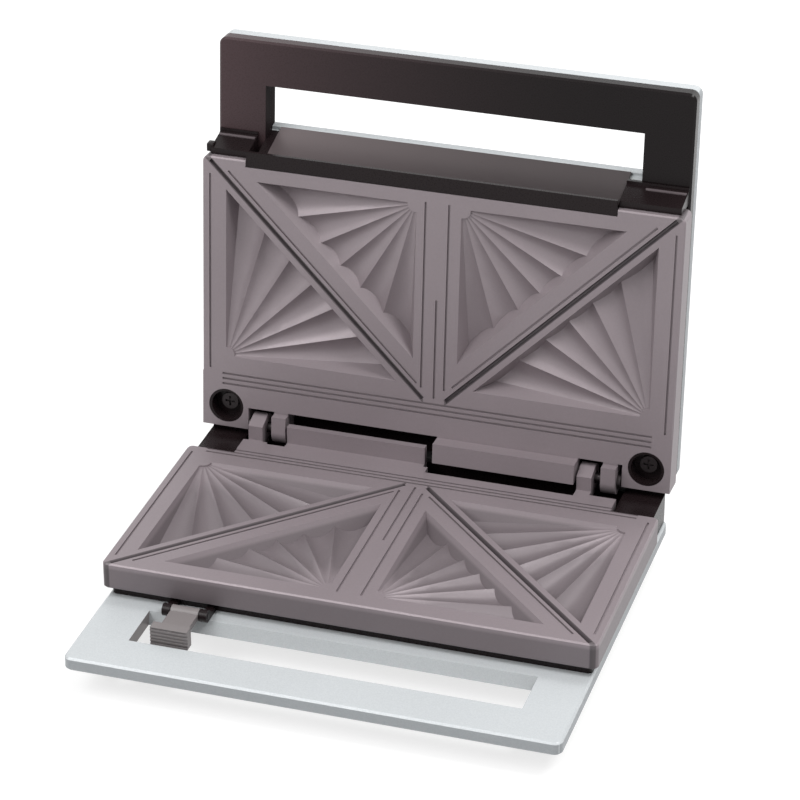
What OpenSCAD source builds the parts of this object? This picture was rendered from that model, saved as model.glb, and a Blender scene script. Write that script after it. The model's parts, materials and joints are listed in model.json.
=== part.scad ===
// Sandwich toaster with two hinged, shell-patterned plates and a pair of slim handles.
// Built in the frame of the plates, then stood on its feet:
// X runs across the toaster, Y from front to back, Z up.
// In the plate frame Y = 0 is the front edge of the lower plate and Z = 0 its top face.

/* [Plates] */
// Width of both cooking plates
plate_w = 245; // [225:1:265]
// Depth of the plates, without the rear flange
plate_d = 120.4; // [112:0.2:130]
// Height of the skirt around a plate
skirt_h = 13.75; // [13:0.25:18]
// Thickness of the plate above its hollow underside
plate_t = 12; // [11.6:0.1:12.6]
// Wall of the skirt
skirt_t = 3; // [2:0.1:4]
// Corner radius of the plates, seen from above
plate_r = 3; // [1:0.5:6]
// Chamfer around the face of the plates
plate_edge = 0.7; // [0.3:0.1:1]
// Gap between the closed plates
plate_gap = 0.5; // [0.4:0.1:1.5]

/* [Pockets] */
// Flutes in the shell pattern of one triangular pocket
flutes = 6; // [4:1:6]
// Depth of a flute for each millimetre of its length
flute_slope = 0.125; // [0.1:0.005:0.13]
// Half width of a flute at the top, for each millimetre of its length
flute_spread = 0.175; // [0.165:0.001:0.185]
// Lean of the pockets' walls, in millimetres for each millimetre of depth
wall_draft = 0.5; // [0.2:0.05:0.6]
// Distance from a pocket's corner to its straight sides
side_room = 0.6; // [0.3:0.1:1.2]
// Margin from the plate's front edge to the corner of an inner pocket
pocket_margin = 11; // [9:0.5:13]
// Margin from the plate's rear edge to the corner of an outer pocket
pocket_margin_rear = 14.4; // [13:0.2:17]
// Margin from the plate's side edge to the corner of an outer pocket
pocket_margin_side = 13; // [11:0.5:15]
// Distance from the middle of the plate to the corner of an inner pocket
pocket_inner = 12; // [10:0.5:14]
// Width of the flat land between each diagonal cutting groove and its inner pocket
land_w = 10; // [8:0.5:12]
// Width of the ridge between each diagonal cutting groove and its outer pocket
ridge_w = 3; // [2:0.1:4]
// Width of the cutting groove along each diagonal
groove_w = 2.6; // [1.2:0.1:3]
// Depth of the cutting groove
groove_depth = 2.2; // [0.8:0.1:2.6]
// Width of the fine rim lines
line_w = 1.1; // [0.6:0.1:1.3]
// Depth of the fine rim lines
line_depth = 1; // [0.3:0.1:1.2]

/* [Handles] */
// Reach of the handles in front of the plates
handle_reach = 56.2; // [50:0.2:62]
// Set-back of both shells behind the sides of the plates
shell_inset = 2.1; // [1.6:0.1:3]
// Corner radius of the shells, seen from above
shell_r = 4; // [2:0.5:8]
// Chamfer around the edges of the shells
shell_edge = 1; // [0.5:0.1:1.4]
// Wall of the shells
shell_t = 2.2; // [1.8:0.1:2.6]
// Visible height of the silver shell's side wall
shell_h = 7; // [6.4:0.1:9]
// Distance from a shell's side to its grip window
window_side = 24.4; // [20:0.2:32]
// Distance from the plates to the far side of the grip windows
window_front = 33.5; // [30:0.5:36]
// Distance from the plates to the near side of the base's grip window
window_rear = 5.5; // [5:0.1:7]
// Lean of the wall at the near side of the windows, in millimetres for each millimetre of height
wall_lean = 0.33; // [0.2:0.01:0.4]

/* [Body] */
// Distance from the rear edge of the plates to the rear of the body
body_back = 29.6; // [29.1:0.1:31.6]
// Depth of the gap between a plate's skirt and its shell
seat_gap = 4.55; // [4:0.05:6]
// Set-back of the dark frames behind the edge of the plates
frame_inset = 3.5; // [2.5:0.1:4.5]
// Height of the lid's dark frame edge
frame_h = 7.2; // [6.5:0.1:9]
// Depth of the tub under the base
tub_h = 10.8; // [10.8:0.1:14]
// Set-back of the tub from the side of the base
tub_inset = 8.4; // [8:0.1:9]
// Height of the feet
foot_h = 3.2; // [3:0.1:6]
// Radius of the feet
foot_r = 7; // [5:0.5:9]

/* [Hinge] */
// Distance from the rear edge of the plates to the hinge axis
hinge_back = 23.8; // [23.4:0.1:24.2]
// Height of the hinge axis above the lower plate
hinge_z = 3.25; // [3:0.05:3.5]
// How far the lid leans open, from closed
open_angle = 94.2; // [80:0.1:96]
// Radius of the hinge pins
hinge_pin_r = 2.5; // [2:0.1:2.8]
// Running clearance of the pins, on the radius
pin_clear = 0.05; // [0.02:0.01:0.08]
// Radius of the hinge ears around the pins
ear_r = 7; // [6:0.1:7]
// Thickness of each hinge ear
ear_w = 7.5; // [6:0.1:7.6]
// Distance from the side of the plates to the middle of the outer ears
ear_side = 30.6; // [30.5:0.1:31.1]
// Distance between the middles of the two ears of one hinge
ear_step = 11.5; // [11.2:0.1:11.7]
// Reach of the plates' rear flanges
flange_reach = 13.6; // [13:0.1:13.6]
// Reach of the lower flange under the lid's spacer block
flange_reach_low = 8.4; // [7.1:0.1:8.4]
// Thickness of the rear flanges
flange_t = 5; // [4:0.1:6]
// Height of the base's spacer wall above its plate
wall_h = 9.2; // [6:0.1:9.2]
// Drop of the lid's spacer block below its plate
block_h = 8; // [6:0.1:8]
// Radius of the screw wells in the lid's plate
well_r = 9.25; // [8:0.25:9.5]
// Depth of the screw wells
well_depth = 8; // [6:0.5:12]

/* [Latch] */
// Distance from the left end of the grip window to the middle of the latch
latch_side = 19; // [16:0.5:26]
// Width of the latch's thumb grip
latch_w = 18.7; // [16:0.1:20]
// Width of the latch's arm
latch_arm_w = 14; // [10:0.5:15]
// Radius of the latch's hub
latch_hub_r = 3.1; // [2.8:0.1:3.1]
// Radius of the latch's pin
latch_pin_r = 1.5; // [1.2:0.1:1.6]
// Thickness of the latch's arm
latch_arm_t = 3; // [2.4:0.1:3.2]
// Turn of the latch from open to locked
latch_turn = 90; // [85:1:92]

/* [Heaters] */
// Radius of the tubular heating elements
heater_r = 3.25; // [2.8:0.05:3.3]
// Radius of the bend in the heating elements
heater_bend_r = 22; // [18:1:26]
// Thickness of the reflector sheets
reflector_t = 0.8; // [0.6:0.1:1.2]

/* [Electrical parts] */
// Radius of the thermostat
thermostat_r = 9; // [8:0.5:10]
// Length of the thermal fuse
fuse_l = 28; // [24:1:32]
// Radius of the thermal fuse
fuse_r = 2; // [1.6:0.1:2.1]
// Length of the fuse's leads
lead_l = 6; // [4:0.5:8]
// Radius of the fuse's leads
lead_r = 0.5; // [0.4:0.05:0.6]
// Length of the terminal block
terminal_w = 36; // [30:1:40]
// Width of the terminal block
terminal_d = 14; // [12:0.5:15]
// Height of the terminal block
terminal_h = 11; // [9:0.5:12]
// Radius of the bore in the cord gland
cord_r = 3.3; // [3:0.1:3.6]

/* [Screws] */
// Radius of the screw shanks
screw_r = 1.5; // [1.2:0.1:1.7]
// Radius of the screw heads
screw_head_r = 2.7; // [2.5:0.1:2.9]
// Radius of the heads in the lid's screw wells
lid_screw_head_r = 4.4; // [3:0.1:5]
// Height of the screw heads
screw_head_h = 1.9; // [1.5:0.1:2.2]
// Length of the cover's screws
cover_screw_l = 8; // [6:0.5:9]
// Length of the reflectors' screws
reflector_screw_l = 7; // [6:0.5:7.5]

/* [Hidden] */
$fn = 48;
eps = 0.01;
fit = 0.3;                       // air left between pieces that seat without touching

silver = "#cfd1d2";
plate_grey = "#92898a";
brown_black = "#3a3030";
black = "#1c1a1a";
steel = "#b9b9bb";
ceramic = "#e6e0d4";

// Widths and depths that follow the plates
shell_w = plate_w - 2 * shell_inset;
window_half_w = shell_w / 2 - window_side;
body_rear = plate_d + body_back;
hinge_y = plate_d + hinge_back;
flange_y = plate_d + flange_reach;
flange_y_low = plate_d + flange_reach_low;
ear_outer_x = plate_w / 2 - ear_side;
ear_inner_x = ear_outer_x - ear_step;
latch_x = -window_half_w + latch_side;

// Levels in the plate frame, in closed position
slab_top = -skirt_h - seat_gap;              // top of the base's silver slab
slab_low = slab_top - shell_h;               // lower edge of its side wall
tub_low = slab_low - tub_h;                  // underside of the tub
floor_z = tub_low - foot_h;                  // what the feet stand on
frame_low = plate_gap + skirt_h + seat_gap;  // underside of the lid's dark frame
frame_high = frame_low + frame_h;            // joint between dark frame and silver shell
lid_high = frame_high + shell_h + 0.3;       // outer face of the lid

// Where the rest position puts the toaster: centred over the box of the open lid
lid_corner_y = -handle_reach - hinge_y;
lid_corner_z = lid_high - hinge_z;
rear_reach = hinge_y + lid_corner_y * cos(open_angle) + lid_corner_z * sin(open_angle);
mid_y = (rear_reach - handle_reach) / 2;

// Frames and openings
frame_w = plate_w - 2 * frame_inset;
well_half_w = plate_w / 2 - 24.5;            // half width of the opening over each heater
well_y = [14, plate_d - 12.4];
flange_half_w = ear_outer_x + ear_w / 2 + 2.35;   // half width of the narrow part of the flanges
lobe_rear = hinge_y + 1.8;                   // rear end of the upper plate's corner lobes
well_x = plate_w / 2 - 12.5;
well_y_pos = plate_d + 14.1;
well_floor = plate_gap + well_depth;
wall_x = [2.4, ear_inner_x - 5];             // spacer wall and block, from the middle outwards
wall_y = [flange_y + 2.5, flange_y + 6];
block_y = [flange_y + 0.5, hinge_y + 0.8];

// Fastener places
screw_x = shell_w / 2 - shell_t - screw_head_r - 0.5;
screw_y = [22, plate_d - 20.4];
boss_r = 3;
reflector_boss_r = 4;
reflector_boss_x = well_half_w - 38;
reflector_boss_y = [20, plate_d - 18.4];
reflector_z = -plate_t - 9.6;                // top of the lower reflector
post_r = 3.5;
post_x = shell_w / 2 - 16.4;
post_y = [24, body_rear - 22];

// Latch
latch_axis_y = -7.2;
latch_axis_z = slab_top + latch_hub_r;
lip_t = 2;                                   // thickness of the lid lip that the latch holds
lip_front = -4.6;
tooth_reach = plate_gap + lip_t + 0.4 - latch_axis_z;   // from the axis to the near face of the tooth
tooth_w = 5.4;
tooth_h = 4.5;                               // how far the tooth stands off the axis plane
grip_drop = 5.3;                             // how far the thumb grip hangs below it
cheek_w = 4;

// ---------------------------------------------------------------- placing

// Stands the plate frame on its feet
module stand() { translate([0, -mid_y, -floor_z]) children(); }

// Lays closed-lid parts open around the hinge
module lid_open() {
    stand() translate([0, hinge_y, hinge_z]) rotate([-open_angle, 0, 0])
        translate([0, -hinge_y, -hinge_z]) children();
}

// Turns a part of the base upside down into its twin in the lid
module lid_twin() { translate([0, 0, plate_gap]) mirror([0, 0, 1]) children(); }

// ---------------------------------------------------------------- shapes

// Box given by its limits along each axis
module block(x, y, z) {
    translate([x[0], y[0], z[0]]) cube([x[1] - x[0], y[1] - y[0], z[1] - z[0]]);
}

// Layer of a slab that draws in by its own height h on the way up
module slab_edge(half_w, y, r, h) {
    across([-half_w + r, half_w - r], [[y[0], 0], [y[0] + h, h], [y[1] - h, h], [y[1], 0]]);
    translate([0, y[1] - r, 0]) rotate([90, 0, 0]) linear_extrude(y[1] - y[0] - 2 * r)
        polygon([[-half_w, 0], [-half_w + h, h], [half_w - h, h], [half_w, 0]]);
    for (side = [-1, 1], end = [0, 1])
        translate([side * (half_w - r), end == 0 ? y[0] + r : y[1] - r, 0]) cylinder(r1 = r, r2 = r - h, h = h);
}

// Upright box with round corners, given by half width, limits in Y and Z, corner radius,
// and the chamfers of its lower and upper edges
module slab(half_w, y, z, r, low = 0, high = 0) {
    translate([0, 0, z[0] + low]) linear_extrude(z[1] - z[0] - low - high) union() {
        translate([-half_w + r, y[0]]) square([2 * (half_w - r), y[1] - y[0]]);
        translate([-half_w, y[0] + r]) square([2 * half_w, y[1] - y[0] - 2 * r]);
        for (side = [-1, 1], end = [0, 1])
            translate([side * (half_w - r), end == 0 ? y[0] + r : y[1] - r]) circle(r);
    }
    if (high > 0) translate([0, 0, z[1] - high]) slab_edge(half_w, y, r, high);
    if (low > 0) translate([0, 0, z[0] + low]) mirror([0, 0, 1]) slab_edge(half_w, y, r, low);
}

// Outline in the Y-Z plane, drawn out along X
module across(x, outline) {
    translate([x[0], 0, 0]) rotate([90, 0, 90]) linear_extrude(x[1] - x[0]) polygon(outline);
}

// Round bar along X
module bar_x(x, y, z, r) {
    translate([x[0], y, z]) rotate([0, 90, 0]) cylinder(r = r, h = x[1] - x[0]);
}

// Pan-head screw whose head lies under z and whose shank rises above it
module screw_up(z, length) {
    translate([0, 0, z]) cylinder(r = screw_r, h = length);
    translate([0, 0, z - screw_head_h]) difference() {
        cylinder(r = screw_head_r, h = screw_head_h);
        for (turn = [0, 90]) rotate(turn)
            translate([-screw_head_r * 0.6, -0.4, -eps]) cube([screw_head_r * 1.2, 0.8, 0.8]);
    }
}

// Puts children at the four places given by +-x and the two values of y
module four(x, y) {
    for (side = [-1, 1], place = y) translate([side * x, place, 0]) children();
}

// Window with an upright far side and a leaning near side, cut through z
module window_cut(half_w, grow, z, near_y, near_z, lean) {
    far_y = -window_front - grow;
    across([-half_w - grow, half_w + grow],
           [[far_y, z[0]], [near_y + grow - lean * abs(z[0] - near_z), z[0]],
            [near_y + grow - lean * abs(z[1] - near_z), z[1]], [far_y, z[1]]]);
}

// ---------------------------------------------------------------- plates

// One triangular pocket: flutes that fan from a corner, cut off by a leaning wall along the
// diagonal and by one along each side. reach is the distance from the corner to the diagonal's wall.
module shell_pocket(reach) {
    pitch = 90 / flutes;
    radius = (flute_spread * flute_spread + flute_slope * flute_slope) / (2 * flute_slope);
    rise = radius - flute_slope;
    start = 4;
    widen = 0.5;                 // keeps the flutes from all meeting in one point
    deep = plate_t + 4;
    intersection() {
        union() for (i = [0 : flutes - 1]) {
            turn = (i + 0.5) * pitch - 45;
            length = reach / cos(abs(turn) + 10) + 2;
            rotate([0, -atan(rise), turn]) translate([start, 0, 0]) rotate([0, 90, 0])
                cylinder(r1 = radius * start + widen, r2 = radius * length, h = length - start);
        }
        translate([0, 2 * reach, 0]) rotate([90, 0, 0]) linear_extrude(4 * reach)
            polygon([[0, -deep], [reach - wall_draft * deep, -deep], [reach + wall_draft, 1], [0, 1]]);
        pocket_side(reach, deep);
        mirror([0, 1, 0]) pocket_side(reach, deep);
    }
}

// Space on the pocket's side of the leaning wall along one of its straight sides
module pocket_side(reach, deep) {
    rotate([0, 0, 45]) across([-3 * reach, 3 * reach],
        [[-4 * reach, -deep], [side_room - wall_draft * deep, -deep], [side_room + wall_draft, 1], [-4 * reach, 1]]);
}

// Where the pockets' corners lie, and the diagonals given by x + y
outer_corner = [plate_w / 2 - pocket_margin_side, plate_d - pocket_margin_rear];
inner_corner = [pocket_inner, pocket_margin];
groove_sum = plate_d;
groove_ends = [6, plate_w / 2 - 4];

// Both pockets of the right half of a plate, on each side of its diagonal
module pocket_pair() {
    reach_outer = (outer_corner[0] + outer_corner[1] - groove_sum) / sqrt(2) - ridge_w - groove_w / 2;
    reach_inner = (groove_sum - inner_corner[0] - inner_corner[1]) / sqrt(2) - land_w - groove_w / 2;
    translate([outer_corner[0], outer_corner[1], 0]) rotate(225) shell_pocket(reach_outer);
    translate([inner_corner[0], inner_corner[1], 0]) rotate(45) shell_pocket(reach_inner);
}

// V-shaped cutting groove along the right diagonal, with a fine line beside it
module diagonal_lines() {
    length = (groove_ends[1] - groove_ends[0]) * sqrt(2);
    translate([groove_ends[0], groove_sum - groove_ends[0], 0]) rotate(-45) {
        across([0, length], [[-groove_w / 2, 0], [-groove_w / 2, 1], [groove_w / 2, 1], [groove_w / 2, 0],
                             [0.4, -groove_depth], [-0.4, -groove_depth]]);
        block([8, length - 10], [-land_w * 0.3 - line_w, -land_w * 0.3], [-line_depth, 1]);
    }
}

// Fine lines that frame the pockets
module rim_lines() {
    for (side = [-1, 1])
        block([side * (plate_w / 2 - 4) - line_w / 2, side * (plate_w / 2 - 4) + line_w / 2],
              [9, plate_d - 6], [-line_depth, 1]);
    for (x = [-6.8, 5.2])
        block([x - line_w / 2, x + line_w / 2], [9, plate_d - 12], [-line_depth, 1]);
    block([-line_w / 2, line_w / 2], [plate_d * 0.5, plate_d - 7], [-line_depth, 1]);
    for (i = [0 : 2])
        block([-plate_w / 2 + 10.5, plate_w / 2 - 10.5],
              [plate_d - 4.4 + i * 2.8, plate_d - 4.4 + i * 2.8 + line_w], [-line_depth, 1]);
}

// Hinge ear centred on x; axis_z is the height of the hinge axis over the plate's own face,
// and shoulder says how far its front rises, as a part of its radius
module ear(x, axis_z, shoulder) {
    limits = [x - ear_w / 2, x + ear_w / 2];
    front = flange_y + 1.2;
    low = axis_z - ear_r;
    across(limits, [[flange_y - 3, min(low, -flange_t)], [flange_y - 3, -0.2], [front, -0.2],
                    [front, axis_z + shoulder * ear_r], [hinge_y - 3, axis_z + (shoulder < 1 ? 0.9 : 1) * ear_r],
                    [hinge_y, axis_z + (shoulder < 1 ? 0.9 : 1) * ear_r],
                    [hinge_y, axis_z], [hinge_y, min(low, -flange_t)]]);
    bar_x(limits, hinge_y, axis_z, ear_r);
}

// Bore for a hinge pin through the ears on one side
module ear_bore(side, axis_z) {
    ends = [side * (ear_outer_x + ear_w), side * (ear_inner_x - ear_w)];
    bar_x([min(ends), max(ends)], hinge_y, axis_z, hinge_pin_r + pin_clear);
}

// Body shared by both plates: slab with a skirt around its hollow underside, and rear flanges
module plate_body(flange_ends) {
    difference() {
        slab(plate_w / 2, [0, plate_d], [-skirt_h, 0], plate_r, plate_edge, plate_edge);
        slab(plate_w / 2 - skirt_t, [skirt_t, plate_d - skirt_t], [-skirt_h - 1, -plate_t], plate_r);
    }
    block([-flange_half_w, 0], [plate_d - 2, flange_ends[0]], [-flange_t, 0]);
    block([-eps, flange_half_w], [plate_d - 2, flange_ends[1]], [-flange_t, 0]);
}

// Pockets, cutting grooves and lines, sunk into a plate's face
module plate_pattern() {
    for (side = [0, 1]) mirror([side, 0, 0]) {
        pocket_pair();
        diagonal_lines();
    }
    rim_lines();
}

// Bosses under a plate, drawn before their holes are drilled
module plate_bosses() {
    four(screw_x, screw_y) translate([0, 0, -skirt_h]) cylinder(r = boss_r, h = skirt_h - plate_t + 1);
    four(reflector_boss_x, reflector_boss_y) translate([0, 0, reflector_z])
        cylinder(r = reflector_boss_r, h = -plate_t - reflector_z + 1);
}

// Pilot holes in those bosses
module boss_holes() {
    four(screw_x, screw_y) translate([0, 0, -skirt_h - 1]) cylinder(r = screw_r, h = 8.2);
    four(reflector_boss_x, reflector_boss_y) translate([0, 0, reflector_z - 1])
        cylinder(r = screw_r, h = 8.6);
}

module lower_plate() {
    color(plate_grey) stand() difference() {
        union() {
            plate_body([flange_y, flange_y_low]);
            plate_bosses();
            block([-wall_x[1], -wall_x[0]], [flange_y - 4, wall_y[1]], [-flange_t, 0]);
            block([-wall_x[1], -wall_x[0]], wall_y, [-flange_t, wall_h]);
            block([wall_x[1] + 1.25, flange_half_w], [flange_y_low - 4, flange_y - 2.5], [-flange_t, 0]);
            ear(-ear_outer_x, hinge_z, 0.6);
            ear(ear_inner_x, hinge_z, 0.6);
        }
        plate_pattern();
        boss_holes();
        for (side = [-1, 1]) ear_bore(side, hinge_z);
        // room for the upper plate's ears
        for (x = [-ear_inner_x, ear_outer_x])
            block([x - ear_w / 2 - 1.1, x + ear_w / 2 + 1.1], [flange_y - 1.5, hinge_y + ear_r + 1],
                  [-skirt_h, ear_r]);
    }
}

module upper_plate() {
    color(plate_grey) lid_open() lid_twin() difference() {
        union() {
            plate_body([flange_y, flange_y]);
            plate_bosses();
            block(wall_x, [flange_y - 4, block_y[1]], [-flange_t, 0]);
            block(wall_x, block_y, [-flange_t, block_h]);
            for (side = [-1, 1]) {
                ends = [side * flange_half_w, side * plate_w / 2];
                block([min(ends), max(ends)], [plate_d - plate_r - 1, lobe_rear], [-skirt_h, 0]);
            }
            ear(ear_outer_x, plate_gap - hinge_z, 1);
            ear(-ear_inner_x, plate_gap - hinge_z, 1);
        }
        plate_pattern();
        boss_holes();
        for (side = [-1, 1]) {
            ear_bore(side, plate_gap - hinge_z);
            translate([side * well_x, well_y_pos, -skirt_h - 1]) cylinder(r = well_r, h = skirt_h + 2);
        }
        // notch for the lid frame's lip
        block([-notch_x[0], notch_x[1]], [-1, notch_y], [-skirt_h - 1, 1]);
    }
}

// ---------------------------------------------------------------- base

notch_x = [window_half_w + 4, window_half_w - 7];
notch_y = 3.4;

// Cheek that carries one end of the latch pin, reaching out over the slab
module latch_cheek(x) {
    across(x, [[frame_inset + 1, slab_top], [frame_inset + 1, slab_top + 2.6], [-2, slab_top + 2.6],
               [latch_axis_y + 1, latch_axis_z + latch_hub_r - 0.2], [latch_axis_y, latch_axis_z],
               [latch_axis_y + 0.5, slab_top]]);
    bar_x(x, latch_axis_y, latch_axis_z, latch_hub_r);
}

cheek_in = latch_arm_w / 2 + fit;            // from the latch's middle to each cheek
cheeks = [[latch_x - cheek_in - cheek_w, latch_x - cheek_in], [latch_x + cheek_in, latch_x + cheek_in + cheek_w]];

module base_shell() {
    color(silver) stand() difference() {
        union() {
            difference() {
                slab(shell_w / 2, [-handle_reach, body_rear], [slab_low, slab_top], shell_r, shell_edge, shell_edge);
                // hollow underside, with walls kept around the window
                difference() {
                    slab(shell_w / 2 - shell_t, [-handle_reach + shell_t, body_rear - shell_t],
                         [slab_low - 1, slab_top - shell_t], shell_r - shell_t / 2);
                    window_cut(window_half_w, shell_t, [slab_low - 2, slab_top], -window_rear,
                               slab_top, wall_lean);
                }
                slab(well_half_w, well_y, [slab_top - shell_t - 1, slab_top + 1], 2);
            }
            four(post_x, post_y) translate([0, 0, tub_low + shell_t])
                cylinder(r = post_r, h = slab_top - shell_t / 2 - tub_low - shell_t);
        }
        window_cut(window_half_w, 0, [slab_low - 1, slab_top + 1], -window_rear, slab_top, wall_lean);
        four(screw_x, screw_y) translate([0, 0, slab_top - shell_t - 1]) cylinder(r = screw_r + 0.2, h = shell_t + 2);
        four(post_x, post_y) translate([0, 0, tub_low]) cylinder(r = screw_r, h = 10);
        // seat for the latch's hub at the edge of the window
        bar_x([latch_x - cheek_in, latch_x + cheek_in], latch_axis_y, latch_axis_z, latch_hub_r + fit);
    }
}

tub_half_w = shell_w / 2 - tub_inset;
tub_y = [3, body_rear - 4];
tub_front_low = tub_y[0] + 1.4 * tub_h;

// Tub outline in the Y-Z plane, shrunk by inset and lifted by the same amount
function tub_outline(inset, top) = [
    [tub_y[0] + inset * 1.2, top], [tub_front_low + inset * 0.6, tub_low + inset],
    [tub_y[1] - inset, tub_low + inset], [tub_y[1] - inset, top]];

gland_x = tub_half_w - 42;
gland_z = tub_low + tub_h / 2;
gland_r = 4.4;

module base_bottom_cover() {
    lid_low = slab_low;
    inset = shell_t + fit;
    color(black) stand() difference() {
        union() {
            difference() {
                slab(shell_w / 2 - inset, [-handle_reach + inset, body_rear - inset],
                     [lid_low, lid_low + 2], shell_r - shell_t / 2);
                window_cut(window_half_w, shell_t + fit, [lid_low - 1, lid_low + 3], -window_rear,
                           slab_top, wall_lean);
            }
            across([-tub_half_w, tub_half_w], tub_outline(0, lid_low + 1));
        }
        across([-tub_half_w + shell_t, tub_half_w - shell_t], tub_outline(shell_t, lid_low + 3));
        four(post_x, post_y) translate([0, 0, tub_low - 1]) cylinder(r = screw_r + 0.2, h = shell_t + 2);
        four(foot_x, foot_y) translate([0, 0, tub_low - 1]) cylinder(r = foot_pin_r + 0.1, h = shell_t + 2);
        // hole for the cord gland, with room for its barrel in the tub's floor
        translate([gland_x, tub_y[1] - shell_t - 3.2, gland_z]) rotate([-90, 0, 0])
            cylinder(r = gland_r + 0.1, h = shell_t + 4.2);
        for (i = [-4 : 4]) block([i * 12 - 2, i * 12 + 2], [50, 90], [tub_low - 1, tub_low + shell_t + 1]);
    }
}

foot_x = shell_w / 2 - 26;
foot_y = [34, body_rear - 16];
foot_pin_r = 2.5;

module base_inner_frame() {
    color(brown_black) stand() difference() {
        union() {
            difference() {
                slab(frame_w / 2, [frame_inset, body_rear - 0.5], [slab_top, -skirt_h], 2);
                slab(well_half_w + 4, [well_y[0] - 2, well_y[1] + 2], [slab_top - 1, 0], 2);
            }
            for (side = [-1, 1]) {
                ends = [side * (flange_half_w + 1), side * frame_w / 2];
                block([min(ends), max(ends)], [plate_d + 0.6, body_rear - 2], [-skirt_h - 1, -2.5]);
                block([min(ends), max(ends)], [lobe_rear + 1, body_rear - 2], [-2.5 - eps, 0.3]);
            }
            // upright rim that closes the hinge's trough at the rear
            block([-frame_w / 2 + 2, frame_w / 2 - 2], [body_rear - 3, body_rear - 0.6], [-skirt_h - 1, -4.6]);
            for (x = cheeks) latch_cheek(x);
        }
        four(screw_x, screw_y) translate([0, 0, slab_top - 1]) cylinder(r = screw_r + 0.2, h = seat_gap + 2);
        bar_x([cheeks[0][0] - 1, cheeks[1][1] + 1], latch_axis_y, latch_axis_z, latch_pin_r + pin_clear);
    }
}

module feet() {
    color(black) stand() four(foot_x, foot_y) {
        translate([0, 0, floor_z]) cylinder(r = foot_r, h = foot_h);
        translate([0, 0, tub_low - 1]) cylinder(r = foot_pin_r, h = shell_t + 1.5);
    }
}

module cover_screws() {
    color(steel) stand() four(post_x, post_y) screw_up(tub_low, cover_screw_l);
}

module cord_gland() {
    color(black) stand() translate([gland_x, tub_y[1], gland_z]) rotate([-90, 0, 0]) difference() {
        union() {
            cylinder(r = gland_r + 0.8, h = 2);
            translate([0, 0, -shell_t - 3]) cylinder(r = gland_r, h = shell_t + 4);
        }
        translate([0, 0, -20]) cylinder(r = cord_r, h = 40);
    }
}

// ---------------------------------------------------------------- heating

heater_z = -plate_t - heater_r - 0.1;
heater_mid_y = plate_d / 2;
heater_x = [-well_half_w + 13, well_half_w - 28];

// Heating element: two straight legs joined by a half-turn, with thin cold ends
module heater_shape() {
    for (side = [-1, 1]) {
        bar_x(heater_x, heater_mid_y + side * heater_bend_r, heater_z, heater_r);
        bar_x([heater_x[0] - 10, heater_x[0] + eps], heater_mid_y + side * heater_bend_r, heater_z, 1.2);
    }
    translate([heater_x[1] - eps, heater_mid_y, heater_z]) rotate([0, 0, -90])
        rotate_extrude(angle = 180) translate([heater_bend_r, 0]) circle(heater_r);
}

module lower_heater() { color(steel) stand() heater_shape(); }
module upper_heater() { color(steel) lid_open() lid_twin() heater_shape(); }

// Reflector sheet with an upturned rim, screwed to the plate's long bosses
module reflector_shape() {
    difference() {
        slab(well_half_w - 3, [well_y[0] + 1 - 4, well_y[1] + 3], [reflector_z - reflector_t, reflector_z], 3);
        four(reflector_boss_x, reflector_boss_y) translate([0, 0, reflector_z - 5])
            cylinder(r = screw_r + 0.2, h = 10);
    }
}

module lower_reflector() { color(steel) stand() reflector_shape(); }
module upper_reflector() { color(steel) lid_open() lid_twin() reflector_shape(); }

module reflector_screws_shape() {
    four(reflector_boss_x, reflector_boss_y) screw_up(reflector_z - reflector_t, reflector_screw_l);
}

module lower_reflector_screws() { color(steel) stand() reflector_screws_shape(); }
module upper_reflector_screws() { color(steel) lid_open() lid_twin() reflector_screws_shape(); }

module plate_screws_shape() {
    four(screw_x, screw_y) screw_up(slab_top - shell_t, seat_gap + shell_t + 6);
}

module lower_plate_screws() { color(steel) stand() plate_screws_shape(); }
module upper_plate_screws() { color(steel) lid_open() lid_twin() plate_screws_shape(); }

module thermostat() {
    color(ceramic) stand() translate([10, heater_mid_y, reflector_z + 0.2]) {
        cylinder(r = thermostat_r, h = -plate_t - reflector_z - 0.3);
        for (side = [-1, 1]) translate([side * (thermostat_r + 1) - 2, -3, 1]) cube([4, 6, 1]);
    }
}

module thermal_fuse() {
    color(ceramic) stand() {
        end = -12;
        start = end - fuse_l;
        bar_x([start, end], heater_mid_y, reflector_z + fuse_r + 0.2, fuse_r);
        for (x = [start - lead_l, end - eps])
            bar_x([x, x + lead_l + eps], heater_mid_y, reflector_z + fuse_r + 0.2, lead_r);
    }
}

module terminal_block() {
    color(ceramic) stand() translate([0, tub_y[1] - shell_t - 7.4 - terminal_d, tub_low + shell_t]) difference() {
        translate([-terminal_w / 2, 0, 0]) cube([terminal_w, terminal_d, terminal_h]);
        for (i = [-1 : 1]) translate([i * (terminal_w / 3 - 1), terminal_d / 2, 3])
            cylinder(r = 2.2, h = terminal_h);
    }
}

// ---------------------------------------------------------------- hinge pins and latch

module hinge_pin(side) {
    inner = ear_inner_x - ear_w / 2 - 0.45;
    outer = ear_outer_x + ear_w / 2 + fit;
    color(steel) stand() {
        bar_x(side > 0 ? [inner, outer + eps] : [-outer - eps, -inner], hinge_y, hinge_z, hinge_pin_r);
        bar_x(side > 0 ? [outer, outer + 1.6] : [-outer - 1.6, -outer], hinge_y, hinge_z, hinge_pin_r + 1.7);
    }
}

module hinge_pin_left() { hinge_pin(-1); }
module hinge_pin_right() { hinge_pin(1); }

module latch_pin() {
    color(steel) stand() bar_x([cheeks[0][0] - 0.2, cheeks[1][1] + 0.2], latch_axis_y, latch_axis_z, latch_pin_r);
}

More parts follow.
